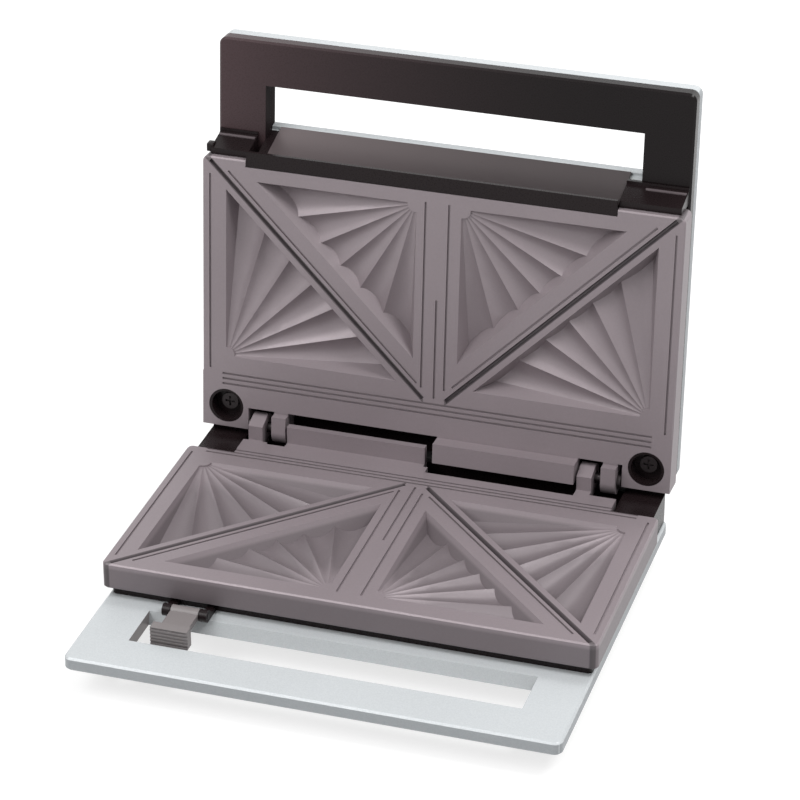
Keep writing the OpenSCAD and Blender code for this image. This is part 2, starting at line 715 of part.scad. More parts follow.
module latch() {
    near = latch_axis_y - tooth_reach;
    arm = [latch_x - latch_arm_w / 2, latch_x + latch_arm_w / 2];
    grip = [latch_x - latch_w / 2, latch_x + latch_w / 2];
    color("#747476") stand() difference() {
        union() {
            bar_x(arm, latch_axis_y, latch_axis_z, latch_hub_r - 0.1);
            block(arm, [near - 1, latch_axis_y], [latch_axis_z - latch_arm_t / 2, latch_axis_z + latch_arm_t / 2]);
            block(grip, [near - tooth_w, near], [latch_axis_z - grip_drop, latch_axis_z + tooth_h]);
        }
        bar_x([arm[0] - 1, arm[1] + 1], latch_axis_y, latch_axis_z, latch_pin_r + pin_clear);
        // finger ribs across the thumb grip
        for (i = [0 : 4]) block([grip[0] - 1, grip[1] + 1], [near - tooth_w - 1, near - tooth_w + 0.6],
                                [latch_axis_z - grip_drop + 1.1 + i * 1.9, latch_axis_z - grip_drop + 1.9 + i * 1.9]);
    }
}

// ---------------------------------------------------------------- lid

lid_window_rear = 10.4;                      // near side of the lid's window at its outer face
liner_t = 1.6;                               // thickness of the satin liner
liner_seat = liner_t + 0.1;                  // depth of its seat in shell and frame
liner_top = lid_high - 4;                    // where the liner ends under the silver edge
liner_x = [-window_half_w + 4.7, notch_x[1] - 0.8];

module lid_shell() {
    low = frame_high;
    color(silver) lid_open() difference() {
        union() {
            difference() {
                slab(shell_w / 2, [-handle_reach, body_rear], [low, lid_high], shell_r, 0, shell_edge);
                difference() {
                    slab(shell_w / 2 - shell_t, [-handle_reach + shell_t, body_rear - shell_t],
                         [low - 1, lid_high - shell_t], shell_r - shell_t / 2);
                    window_cut(window_half_w, shell_t, [low - 2, lid_high], liner_seat - lid_window_rear,
                               lid_high, -wall_lean);
                }
            }
            for (side = [-1, 1]) translate([side * well_x, well_y_pos, well_floor + shell_t])
                cylinder(r = post_r, h = lid_high - well_floor - 1.5 * shell_t);
        }
        window_cut(window_half_w, 0, [low - 1, lid_high + 1], -lid_window_rear, lid_high, -wall_lean);
        window_cut(window_half_w, 0, [low - 1, liner_top + 0.2], liner_seat - lid_window_rear,
                   lid_high, -wall_lean);
        for (side = [-1, 1]) {
            translate([side * well_x, well_y_pos, well_floor]) cylinder(r = screw_r, h = 12);
            translate([side * lamp_x, lamp_y, lid_high - 5]) cylinder(r = lamp_r + 0.1, h = 10);
        }
    }
}

// Y of the window's leaning near wall at height z, in the lid
function lean_y(z) = -lid_window_rear + wall_lean * (lid_high - z);

// One end of the lid's leaning wall, from height low up to the shell and back to rear
module wall_end(x, low, rear) {
    across(x, [[lean_y(low), low], [lean_y(frame_high), frame_high], [lean_y(frame_high) + 3, frame_high],
               [rear, frame_low], [rear, low]]);
}

module lid_inner_frame() {
    lip_x = [-notch_x[0] + fit, notch_x[1] - fit];
    lip_high = plate_gap + lip_t;
    color(brown_black) lid_open() difference() {
        union() {
            difference() {
                slab(shell_w / 2, [-handle_reach, body_rear], [frame_low, frame_high], shell_r, shell_edge, 0.3);
                difference() {
                    slab(shell_w / 2 - shell_t, [-handle_reach + shell_t, body_rear - shell_t],
                         [frame_low + shell_t, frame_high + 1], shell_r - shell_t / 2);
                    window_cut(window_half_w, shell_t, [frame_low, frame_high + 2],
                               liner_seat - lid_window_rear, lid_high, -wall_lean);
                }
                window_cut(window_half_w, 0, [frame_low - 1, frame_high + 1], liner_seat - lid_window_rear,
                           lid_high, -wall_lean);
            }
            lid_twin() slab(frame_w / 2, [frame_inset, body_rear - 0.5], [slab_top - 1, -skirt_h], 2);
            // dark wall in front of the plate, on each side of the window
            for (x = [[-shell_w / 2 + 1, lip_x[0]], [lip_x[1], shell_w / 2 - 1]])
                across(x, [[-9, frame_low + 1], [-9, frame_low - 1.2], [-7.4, frame_low - 1.2],
                           [-6.6, frame_low - 3], [-3.4, plate_gap + 3.5], [-fit, plate_gap + 3.5],
                           [-fit, frame_low + 1]]);
            // ends of the leaning wall, beside the satin liner
            wall_end([-window_half_w, liner_x[0] - 0.1], lip_high, 1.7);
            wall_end([liner_x[1] + 0.1, window_half_w], lip_high, -fit - 0.4);
            // lip that the latch holds, and the web that carries it
            block(lip_x, [lip_front, notch_y - fit], [plate_gap, lip_high]);
            block(lip_x, [1.4, notch_y - fit], [plate_gap, frame_low + 1]);
            for (side = [-1, 1]) translate([side * well_x, well_y_pos, plate_gap + 0.4])
                cylinder(r = well_r - 0.1, h = frame_low - plate_gap);
        }
        slab(well_half_w, well_y, [0, frame_high], 2);
        four(screw_x, screw_y) translate([0, 0, plate_gap]) cylinder(r = screw_r + 0.2, h = 40);
        for (side = [-1, 1]) translate([side * well_x, well_y_pos, 0]) {
            cylinder(r = well_r - 1.4, h = well_floor);
            cylinder(r = screw_r + 0.2, h = frame_high);
            translate([0, 0, well_floor + shell_t]) cylinder(r = post_r + 0.1, h = frame_high);
        }
    }
}

// Leaning satin wall along the near side of the lid's window
module grip_liner() {
    low = plate_gap + lip_t;
    color(plate_grey) lid_open()
        across(liner_x, [[lean_y(low), low], [lean_y(liner_top), liner_top],
                         [lean_y(liner_top) + liner_t, liner_top], [lean_y(low) + liner_t, low]]);
}

// The lid's screws have broader heads, which show at the bottom of their wells
module lid_screws() {
    color(steel) lid_open() for (side = [-1, 1]) translate([side * well_x, well_y_pos, well_floor]) {
        cylinder(r = screw_r, h = 10);
        translate([0, 0, -screw_head_h]) difference() {
            cylinder(r = lid_screw_head_r, h = screw_head_h);
            for (turn = [0, 90]) rotate(turn)
                translate([-2.6, -0.55, -eps]) cube([5.2, 1.1, 1.2]);
        }
    }
}

lamp_x = 14;
lamp_y = 16;
lamp_r = 4.2;

// Domed lens that snaps into the lid from outside
module lamp_lens() {
    translate([0, 0, lid_high - 3]) cylinder(r = lamp_r, h = 3.2);
    translate([0, 0, lid_high + 0.2]) intersection() {
        translate([0, 0, -8]) sphere(9);
        cylinder(r = lamp_r, h = 2);
    }
}

module power_lamp() { color("#b3261e") lid_open() translate([-lamp_x, lamp_y, 0]) lamp_lens(); }
module ready_lamp() { color("#2e8b3a") lid_open() translate([lamp_x, lamp_y, 0]) lamp_lens(); }

module lamp_holder() {
    color(ceramic) lid_open() difference() {
        block([-lamp_x - 8, lamp_x + 8], [lamp_y - 6, lamp_y + 6], [lid_high - 7, lid_high - 3.2]);
        for (side = [-1, 1]) translate([side * lamp_x, lamp_y, lid_high - 6]) cylinder(r = 2.5, h = 5);
    }
}

base_shell();
base_bottom_cover();
base_inner_frame();
lower_plate();
lower_heater();
lower_reflector();
lower_plate_screws();
lower_reflector_screws();
cover_screws();
feet();
thermostat();
thermal_fuse();
terminal_block();
cord_gland();
hinge_pin_left();
hinge_pin_right();
latch_pin();
latch();
lid_shell();
lid_inner_frame();
grip_liner();
upper_plate();
upper_heater();
upper_reflector();
upper_plate_screws();
upper_reflector_screws();
lid_screws();
power_lamp();
ready_lamp();
lamp_holder();
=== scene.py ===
"""Dresses the packed sandwich toaster: casings, coated plates, finishes, light and camera."""
import json
import logging
import math
from dataclasses import dataclass, replace
from enum import Enum
from typing import Any, Callable, Iterable

import bpy
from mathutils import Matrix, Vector

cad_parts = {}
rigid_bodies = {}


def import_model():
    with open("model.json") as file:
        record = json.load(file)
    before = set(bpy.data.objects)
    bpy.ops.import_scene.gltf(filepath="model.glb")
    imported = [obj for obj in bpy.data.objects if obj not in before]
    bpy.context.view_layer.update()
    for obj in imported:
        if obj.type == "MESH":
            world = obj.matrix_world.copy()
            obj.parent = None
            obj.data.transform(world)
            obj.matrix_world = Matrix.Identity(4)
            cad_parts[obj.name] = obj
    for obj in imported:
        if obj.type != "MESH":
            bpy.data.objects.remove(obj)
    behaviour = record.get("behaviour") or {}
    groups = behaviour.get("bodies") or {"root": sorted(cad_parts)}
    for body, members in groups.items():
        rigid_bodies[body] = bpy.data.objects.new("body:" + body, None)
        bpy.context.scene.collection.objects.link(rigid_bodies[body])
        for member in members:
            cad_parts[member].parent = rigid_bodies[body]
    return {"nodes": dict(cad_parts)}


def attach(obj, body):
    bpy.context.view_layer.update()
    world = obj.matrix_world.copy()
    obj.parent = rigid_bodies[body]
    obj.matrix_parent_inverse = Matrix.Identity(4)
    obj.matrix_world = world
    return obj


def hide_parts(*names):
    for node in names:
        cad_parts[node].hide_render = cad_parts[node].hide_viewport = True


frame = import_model()

Nodes = dict[str, bpy.types.Object]
Span = tuple[float, float]
Place = tuple[float, float, float]

LOG = logging.getLogger("toaster")
MM = 0.001
# Corners of a CAD copy this close become one corner, and faces this nearly level one face.
MERGE_M = 2e-6
LEVEL_DEG = 0.6
# Edges sharper than this stay crisp.
CRISP_DEG = 40.0
# Corners this close to a stated level are on it.
NEAR_MM = 0.1
# A face looks along an axis if that share of its normal is above the first, and away from it if
# it is below the second.
ALONG = 0.9
ACROSS = 0.5
# Weighted normals follow the large faces alone.
FULL_WEIGHT = 100


class Body(Enum):
    """Rigid bodies that pieces ride on."""

    BASE = "base"
    LID = "lid"
    LATCH = "latch"


class Grain(Enum):
    """How a surface was made, which decides its pattern."""

    LACQUERED = "metal-flake lacquer over moulded plastic"
    MOULDED = "spark-eroded mould texture"
    SPRAYED = "sprayed and baked non-stick coating"
    DRAWN = "drawn or rolled metal with fine streaks"
    SMOOTH = "polished or fired surface"


# How many finer layers each fine pattern has, and how strong they are.
GRAIN_DETAIL = {Grain.SPRAYED: 3.0, Grain.MOULDED: 4.0, Grain.DRAWN: 5.0, Grain.SMOOTH: 1.0}
GRAIN_ROUGHNESS = 0.6
# Streaks run along X, so their pattern is drawn out along it.
STREAK_SCALE = (0.04, 1.0, 1.0)
# Layers of the slow drift, and the part of the noise that it uses.
DRIFT_DETAIL = 2.0
DRIFT_SPAN = (0.3, 0.7)


def linear(code: str) -> tuple[float, float, float, float]:
    """Turns an sRGB hex colour into linear light.

    Args:
        code: Colour as "#rrggbb".

    Returns:
        Red, green, blue and alpha, each from 0 to 1.
    """
    parts = [int(code[i:i + 2], 16) / 255 for i in (1, 3, 5)]
    red, green, blue = (p / 12.92 if p <= 0.04045 else ((p + 0.055) / 1.055) ** 2.4 for p in parts)
    return red, green, blue, 1.0


def add_node(tree: bpy.types.NodeTree, kind: str, feeds: dict[Any, Any] | None = None,
             **settings: Any) -> bpy.types.Node:
    """Adds one node to a material or world.

    Args:
        tree: Node tree that takes it.
        kind: Blender's type name of the node.
        feeds: Input name or number to a socket, which is linked, or to a plain value.
        **settings: Attributes set on the node.

    Returns:
        The new node.
    """
    node = tree.nodes.new(kind)
    for key, value in settings.items():
        setattr(node, key, value)
    for key, value in (feeds or {}).items():
        if isinstance(value, bpy.types.NodeSocket):
            tree.links.new(value, node.inputs[key])
        else:
            node.inputs[key].default_value = value
    return node


@dataclass(frozen=True)
class GrooveShade:
    """Painted shade along the two cutting grooves, which mirror each other across X = 0."""

    # Direction across the right groove, and how far from the origin the groove lies that way.
    across: Place
    offset_mm: float
    half_mm: float = 1.0
    fade_mm: float = 0.5
    share: float = 0.42
    # The painted shade ends here, short of the middle, and leaves the land between them unpainted.
    start_mm: float = 5.9

    def shade(self, tree: bpy.types.NodeTree, place: bpy.types.NodeSocket) -> bpy.types.NodeSocket:
        """Adds how much of the colour the painted groove shade leaves.

        Args:
            tree: Node tree of the material.
            place: Position on the piece, in metres.

        Returns:
            Socket that is 1 away from the grooves.
        """
        parts = add_node(tree, "ShaderNodeSeparateXYZ", {0: place}).outputs
        side = add_node(tree, "ShaderNodeMath", {0: parts["X"]}, operation="ABSOLUTE").outputs[0]
        folded = add_node(tree, "ShaderNodeCombineXYZ",
                          {"X": side, "Y": parts["Y"], "Z": parts["Z"]}).outputs[0]
        reach = add_node(tree, "ShaderNodeVectorMath", {0: folded, 1: self.across},
                         operation="DOT_PRODUCT").outputs["Value"]
        off = add_node(tree, "ShaderNodeMath", {0: reach, 1: self.offset_mm * MM},
                       operation="SUBTRACT").outputs[0]
        away = add_node(tree, "ShaderNodeMath", {0: off}, operation="ABSOLUTE").outputs[0]
        beside = add_node(tree, "ShaderNodeMapRange",
                          {"Value": away, "From Min": self.half_mm * MM,
                           "From Max": (self.half_mm + self.fade_mm) * MM,
                           "To Min": self.share, "To Max": 1.0}).outputs[0]
        before = add_node(tree, "ShaderNodeMapRange",
                          {"Value": side, "From Min": (self.start_mm - self.fade_mm) * MM,
                           "From Max": self.start_mm * MM,
                           "To Min": 1.0, "To Max": 0.0}).outputs[0]
        return add_node(tree, "ShaderNodeMath", {0: beside, 1: before},
                        operation="MAXIMUM").outputs[0]


@dataclass(frozen=True)
class PaintedSheen:
    """Painted sheen: a paler gradient along X from the latch's end, standing in for light and
    reflection on a dark surface.
    """

    from_mm: float = -118.0
    to_mm: float = 80.0
    near_share: float = 5.4
    far_share: float = 0.55
    thinning: float = 2.0

    def shade(self, tree: bpy.types.NodeTree, place: bpy.types.NodeSocket) -> bpy.types.NodeSocket:
        """Adds how much paler the painted sheen makes the colour.

        Args:
            tree: Node tree of the material.
            place: Position on the piece, in metres.

        Returns:
            Socket of the factor.
        """
        side = add_node(tree, "ShaderNodeSeparateXYZ", {0: place}).outputs["X"]
        # Measured from the far end, so that the painted sheen thins out gently there.
        reach = add_node(tree, "ShaderNodeMapRange",
                         {"Value": side, "From Min": self.to_mm * MM,
                          "From Max": self.from_mm * MM}).outputs[0]
        soft = add_node(tree, "ShaderNodeMath", {0: reach, 1: self.thinning},
                        operation="POWER").outputs[0]
        return add_node(tree, "ShaderNodeMapRange",
                        {"Value": soft, "To Min": self.far_share,
                         "To Max": self.near_share}).outputs[0]


@dataclass(frozen=True)
class Finish:
    """One real material. Pattern sizes are in millimetres on the object."""

    name: str
    colour: str
    tint: str
    grain: Grain
    grain_mm: float
    roughness: float
    metallic: float = 0.0
    tint_share: float = 0.3
    bump_mm: float = 0.02
    rough_swing: float = 0.06
    drift_mm: float = 70.0
    drift_share: float = 0.08
    specular: float = 0.5
    transmission: float = 0.0
    ior: float = 1.5
    # How much smoother, and how much flatter, a rubbed edge is.
    rub_smoother: float = 0.06
    rub_relief: float = 0.5
    # Height under which painted shade darkens the colour, how fast it fades in, and the share of
    # colour left.
    painted_shade_below_mm: float = -1000.0
    painted_shade_fade_mm: float = 1.5
    painted_shade_share: float = 1.0
    groove_shade: GrooveShade | None = None
    painted_sheen: PaintedSheen | None = None

    def material(self) -> bpy.types.Material:
        """Builds the material once.

        Returns:
            The material, the same one on later calls.
        """
        known = bpy.data.materials.get(self.name)
        if known:
            return known
        made = bpy.data.materials.new(self.name)
        made.use_nodes = True
        tree = made.node_tree
        tree.nodes.clear()
        place = add_node(tree, "ShaderNodeTexCoord").outputs["Object"]
        if self.grain is Grain.DRAWN:
            place = add_node(tree, "ShaderNodeMapping",
                             {"Vector": place, "Scale": STREAK_SCALE}).outputs[0]
        fine = self._fine(tree, place)
        rough = add_node(tree, "ShaderNodeMapRange",
                         {"Value": fine, "To Min": self.roughness - self.rough_swing,
                          "To Max": self.roughness + self.rough_swing}).outputs[0]
        bump = add_node(tree, "ShaderNodeBump",
                        {"Height": fine, "Distance": self.bump_mm * MM, "Strength": 1.0})
        shader = add_node(tree, "ShaderNodeBsdfPrincipled", {
            "Base Color": self._shade(tree, place, fine), "Roughness": rough,
            "Metallic": self.metallic, "Normal": bump.outputs[0],
            "Specular IOR Level": self.specular, "Transmission Weight": self.transmission,
            "IOR": self.ior})
        add_node(tree, "ShaderNodeOutputMaterial", {"Surface": shader.outputs[0]})
        return made

    def worn_with_painted_edge_light(self) -> "Finish":
        """Returns the finish of a rounded edge: rubbed smoother, and in the other tone as painted
        edge light.
        """
        return replace(self, name=f"{self.name}_rubbed_painted_edge_light", colour=self.tint, tint=self.colour,
                       roughness=self.roughness - self.rub_smoother,
                       bump_mm=self.bump_mm * self.rub_relief)

    def _shade(self, tree: bpy.types.NodeTree, place: bpy.types.NodeSocket,
               fine: bpy.types.NodeSocket) -> bpy.types.NodeSocket:
        """Adds the colour: two tones by the fine pattern, a slow drift, and the painted shade and
        sheen.

        Args:
            tree: Node tree of the material.
            place: Position on the piece, in metres.
            fine: The fine pattern, from 0 to 1.

        Returns:
            Socket of the colour.
        """
        share = add_node(tree, "ShaderNodeMath", {0: fine, 1: self.tint_share},
                         operation="MULTIPLY").outputs[0]
        pair = add_node(tree, "ShaderNodeMix", {"Factor": share}, data_type="RGBA")
        tones = [socket for socket in pair.inputs if socket.type == "RGBA"]
        for socket, code in zip(tones, (self.colour, self.tint)):
            socket.default_value = linear(code)
        drift = add_node(tree, "ShaderNodeTexNoise",
                         {"Vector": place, "Scale": 1 / (self.drift_mm * MM),
                          "Detail": DRIFT_DETAIL}).outputs[0]
        level = add_node(tree, "ShaderNodeMapRange",
                         {"Value": drift, "From Min": DRIFT_SPAN[0], "From Max": DRIFT_SPAN[1],
                          "To Min": 1 - self.drift_share, "To Max": 1.0}).outputs[0]
        # Painted groove shade, painted sheen and painted shade below a height change the colour
        # here.
        layers = [layer.shade(tree, place) for layer in (self.groove_shade, self.painted_sheen) if layer]
        if self.painted_shade_share < 1:
            layers.insert(0, self._painted_shade_below(tree, place))
        for layer in layers:
            level = add_node(tree, "ShaderNodeMath", {0: level, 1: layer},
                             operation="MULTIPLY").outputs[0]
        return add_node(tree, "ShaderNodeVectorMath",
                        {0: pair.outputs["Result"], "Scale": level}, operation="SCALE").outputs[0]

    def _painted_shade_below(self, tree: bpy.types.NodeTree, place: bpy.types.NodeSocket) -> bpy.types.NodeSocket:
        """Adds how much of the colour painted shade leaves below a height.

        Args:
            tree: Node tree of the material.
            place: Position on the piece, in metres.

        Returns:
            Socket that is 1 above that height.
        """
        height = add_node(tree, "ShaderNodeSeparateXYZ", {0: place}).outputs["Z"]
        return add_node(tree, "ShaderNodeMapRange",
                        {"Value": height,
                         "From Min": (self.painted_shade_below_mm - self.painted_shade_fade_mm) * MM,
                         "From Max": self.painted_shade_below_mm * MM,
                         "To Min": self.painted_shade_share, "To Max": 1.0}).outputs[0]

    def _fine(self, tree: bpy.types.NodeTree, place: bpy.types.NodeSocket) -> bpy.types.NodeSocket:
        """Adds the fine pattern of the surface.

        Args:
            tree: Node tree of the material.
            place: Position on the piece, in metres.

        Returns:
            Socket that runs from 0 to 1.
        """
        scale = 1 / (self.grain_mm * MM)
        if self.grain is Grain.LACQUERED:
            cells = add_node(tree, "ShaderNodeTexVoronoi", {"Vector": place, "Scale": scale})
            return add_node(tree, "ShaderNodeSeparateColor",
                            {0: cells.outputs["Color"]}).outputs[0]
        return add_node(tree, "ShaderNodeTexNoise",
                        {"Vector": place, "Scale": scale, "Detail": GRAIN_DETAIL[self.grain],
                         "Roughness": GRAIN_ROUGHNESS}).outputs[0]


# ABS with metal-flake silver lacquer: pale and satin, with flakes coarse enough to show.
SILVER = Finish("silver_lacquer_abs", "#c9cdcf", "#b1b5b8", Grain.LACQUERED, 0.45, 0.48,
                metallic=0.15, tint_share=0.35, bump_mm=0.006, drift_share=0.04, specular=0.35)
# The same lacquer, greyer on upright edges: painted shade.
SILVER_SHADED_SIDE = replace(SILVER, name="silver_lacquer_abs_painted_shade", colour="#a9adb0",
                      tint="#94989c")
# Glass-filled PBT moulding: brown-black with a soft gloss.
DARK_FRAME = Finish("brown_black_pbt", "#191213", "#2b2224", Grain.MOULDED, 0.8, 0.28,
                    bump_mm=0.012, specular=0.16)
# The lid's moulding with a painted sheen: greyer at the latch's end.
LID_FRAME = replace(DARK_FRAME, name="brown_black_pbt_painted_sheen", painted_sheen=PaintedSheen())
# The beads on the lid's cheeks, smoother and paler: the paler tone is a painted highlight along
# their crests.
HIGHLIGHT_BEAD = replace(DARK_FRAME, name="brown_black_pbt_painted_highlight", colour="#62595c", tint="#50484a",
               roughness=0.35)
# The ends of the lid's grip window, coarsely etched in the mould: flat black without gloss; on the
# silver casing this black is painted shade.
SHADED_REVEAL = replace(DARK_FRAME, name="brown_black_pbt_matt_painted_shade", roughness=0.7, specular=0.04,
                 bump_mm=0.03)
# Die-cast aluminium under a sprayed fluoropolymer coat: warm grey and pearly, faint orange peel.
# Painted shade darkens the cutting grooves, which run at 45 degrees: |X| + Y keeps one value
# along them on the flat lower plate, and |X| - Z nearly does on the raised upper one.
PLATE = Finish("sprayed_nonstick_coat", "#8f8589", "#7f7579", Grain.SPRAYED, 1.1, 0.45,
               metallic=0.25, tint_share=0.4, bump_mm=0.015,
               groove_shade=GrooveShade((0.7071, 0.0, -0.709), -47.14))
# The lower casting's skirt is darker: painted shade below a height of 37.5 mm.
LOWER_PLATE = replace(PLATE, name="sprayed_nonstick_coat_painted_shade_skirt", painted_shade_below_mm=37.5,
                      painted_shade_share=0.68, groove_shade=GrooveShade((0.7071, 0.7071, 0.0), 38.24))
# ABS liner of the lid's grip window in grey metallic lacquer: satin, with a painted sheen that
# makes it paler at the latch's end.
LINER = Finish("satin_grey_abs", "#5f5657", "#524a4b", Grain.MOULDED, 0.6, 0.3, metallic=0.5,
               bump_mm=0.01, painted_sheen=PaintedSheen(near_share=1.75, far_share=0.62))
# Moulded ABS of the lever: plain warm grey. The same grey on the slab window's ends is painted
# shade.
LEVER = Finish("grey_abs", "#7d7777", "#6a6565", Grain.MOULDED, 0.6, 0.4, bump_mm=0.012)
# Polypropylene underside from a textured mould: matt black.
UNDERSIDE = Finish("black_pp", "#1d1b1b", "#272424", Grain.MOULDED, 0.9, 0.6, bump_mm=0.03)
# Elastomer of the feet and the cord gland, black without a shine; painted shade in the hinge gaps.
RUBBER = Finish("black_tpe", "#181717", "#221f1f", Grain.MOULDED, 0.7, 0.75)
# Zinc-plated steel of hidden screws, heaters and reflectors: grey with fine streaks.
STEEL = Finish("zinc_plated_steel", "#9b9b9e", "#7f7f82", Grain.DRAWN, 0.5, 0.36, metallic=1.0,
               bump_mm=0.004)
# Blackened steel of the pins and of the screws in the dark wells: a dull dark gleam.
BLACK_STEEL = Finish("blackened_steel", "#3a3536", "#2a2627", Grain.DRAWN, 0.5, 0.38,
                     metallic=0.7, bump_mm=0.004)
# Steatite and phenolic of the electrical parts: matt cream.
CERAMIC = Finish("steatite", "#ddd6c8", "#cbc3b3", Grain.SMOOTH, 2.0, 0.55, bump_mm=0.01)
# Tinted polycarbonate of the lamp lenses: clear colour with a sharp gloss.
RED_LENS = Finish("red_polycarbonate", "#c0281f", "#a81f18", Grain.SMOOTH, 3.0, 0.14,
                  transmission=0.12, ior=1.58, rough_swing=0.02, bump_mm=0.001)
GREEN_LENS = replace(RED_LENS, name="green_polycarbonate", colour="#2e8b3a", tint="#277a32")


def select_only(piece: bpy.types.Object) -> None:
    """Selects and activates one object.

    Args:
        piece: The object.
    """
    bpy.ops.object.select_all(action="DESELECT")
    piece.select_set(True)
    bpy.context.view_layer.objects.active = piece


def wear(piece: bpy.types.Object, finish: Finish) -> None:
    """Gives a piece one finish all over.

    Args:
        piece: Object to dress.
        finish: Its finish.
    """
    slots = piece.data.materials
    if not slots:
        slots.append(finish.material())
    for index in range(len(slots)):
        slots[index] = finish.material()


def apply_modifier(piece: bpy.types.Object, kind: str, **settings: Any) -> None:
    """Adds a modifier to a piece and applies it.

    Args:
        piece: Object to change.
        kind: Blender's type name of the modifier.
        **settings: Attributes set on the modifier.
    """
    select_only(piece)
    step = piece.modifiers.new(kind.lower(), kind)
    for key, value in settings.items():
        setattr(step, key, value)
    bpy.ops.object.modifier_apply(modifier=step.name)


@dataclass(frozen=True)
class Rounding:
    """Rounding that a mould leaves on the sharp edges of a piece."""

    width_mm: float
    segments: int = 3
    angle_deg: float = 30.0

    def cut(self, piece: bpy.types.Object, **settings: Any) -> None:
        """Rounds the piece's edges and smooths its shading.

        Args:
            piece: Object to round.
            **settings: More attributes of the bevel.
        """
        apply_modifier(piece, "BEVEL", width=self.width_mm * MM, segments=self.segments,
                       limit_method="ANGLE", angle_limit=math.radians(self.angle_deg), **settings)
        bpy.ops.object.shade_smooth_by_angle(angle=math.radians(CRISP_DEG))


@dataclass
class SubAssembly:
    """Parts that are fitted together before the toaster is closed up."""

    nodes: Nodes

    def dress(self, finishes: dict[str, Finish]) -> None:
        """Gives CAD nodes their finishes.

        Args:
            finishes: Node name to finish.
        """
        for name, finish in finishes.items():
            wear(self.nodes[name], finish)
            LOG.info("%s is dressed in %s", name, finish.name)

    def soften(self, node: str, name: str, body: Body, slot: str, finish: Finish,
               rounding: Rounding) -> bpy.types.Object:
        """Remodels a moulding from its CAD node, with the roundings that its mould leaves.

        Args:
            node: CAD node it is copied from and stands for.
            name: Name of the new piece.
            body: Body it rides on.
            slot: Material slot of the record.
            finish: Its finish, which is rubbed on the roundings, in its other tone as painted edge
                light.
            rounding: Size of the roundings.

        Returns:
            The new piece.
        """
        select_only(self.nodes[node])
        bpy.ops.object.duplicate(linked=False)
        piece = bpy.context.active_object
        piece.name = piece.data.name = name
        bpy.ops.object.parent_clear(type="CLEAR_KEEP_TRANSFORM")
        bpy.ops.object.mode_set(mode="EDIT")
        bpy.ops.mesh.select_all(action="SELECT")
        bpy.ops.mesh.remove_doubles(threshold=MERGE_M)
        bpy.ops.mesh.dissolve_limited(angle_limit=math.radians(LEVEL_DEG))
        bpy.ops.object.mode_set(mode="OBJECT")
        wear(piece, finish)
        # The roundings take the finish's other tone: a painted highlight on the dark mouldings,
        # painted shade on the silver casings and the lever.
        piece.data.materials.append(finish.worn_with_painted_edge_light().material())
        rounding.cut(piece, use_clamp_overlap=True, material=len(piece.data.materials) - 1)
        apply_modifier(piece, "WEIGHTED_NORMAL", keep_sharp=True, weight=FULL_WEIGHT)
        self.fit(piece, body, slot, node)
        return piece

    @staticmethod
    def mask(piece: bpy.types.Object, finish: Finish,
             chosen: Callable[[Vector, Vector], bool]) -> None:
        """Leaves some faces of a moulding in another finish.

        Args:
            piece: Piece that is already dressed.
            finish: Finish of the chosen faces.
            chosen: Says of a face's middle, in millimetres, and its normal if it is chosen.
        """
        piece.data.materials.append(finish.material())
        last = len(piece.data.materials) - 1
        for face in piece.data.polygons:
            if chosen(face.center / MM, face.normal):
                face.material_index = last

    @staticmethod
    def block(name: str, low: Place, high: Place) -> bpy.types.Object:
        """Adds a block whose place is in its mesh, as a start for a piece.

        Args:
            name: Name of the new piece.
            low: Lowest corner, in millimetres.
            high: Highest corner, in millimetres.

        Returns:
            The block.
        """
        bpy.ops.object.select_all(action="DESELECT")
        middle = [(a + b) / 2 * MM for a, b in zip(low, high)]
        bpy.ops.mesh.primitive_cube_add(size=1.0, location=middle)
        piece = bpy.context.active_object
        piece.name = piece.data.name = name
        piece.scale = [(b - a) * MM for a, b in zip(low, high)]
        bpy.ops.object.transform_apply(location=True, rotation=True, scale=True)
        return piece

    @staticmethod
    def shift(piece: bpy.types.Object, chosen: Callable[[Vector], bool], by_mm: Place) -> None:
        """Moves some corners of a piece, as by hand.

        Args:
            piece: Object to change.
            chosen: Says of a corner, in millimetres, whether it moves.
            by_mm: How far they move.
        """
        select_only(piece)
        for corner in piece.data.vertices:
            corner.select = chosen(corner.co / MM)
        bpy.ops.object.mode_set(mode="EDIT")
        bpy.ops.mesh.select_mode(type="VERT")
        bpy.ops.transform.translate(value=[v * MM for v in by_mm])
        bpy.ops.object.mode_set(mode="OBJECT")

    @staticmethod
    def fit(piece: bpy.types.Object, body: Body, slot: str, node: str | None = None) -> None:
        """Puts a piece on its body.

        Args:
            piece: New piece.
            body: Body it rides on.
            slot: Material slot of the record. Not used.
            node: CAD node that it stands for, if any.
        """
        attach(piece, body.value)
        if node:
            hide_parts(node)
        LOG.info("%s rides on %s", piece.name, body.value)


@dataclass(frozen=True)
class GripWindow:
    """Where the end walls of the grip window through a silver shell are."""

    half_mm: float
    y_mm: Span
    z_mm: Span
    near_mm: float = 1.5

    def is_end(self, at: Vector, normal: Vector) -> bool:
        """Says whether a face is an end wall of the window.

        Args:
            at: The face's middle, in millimetres.
            normal: Its normal.

        Returns:
            True at the two ends.
        """
        inside = self.y_mm[0] < at.y < self.y_mm[1] and self.z_mm[0] < at.z < self.z_mm[1]
        return (inside and abs(normal.x) > ALONG
                and abs(abs(at.x) - self.half_mm) < self.near_mm)


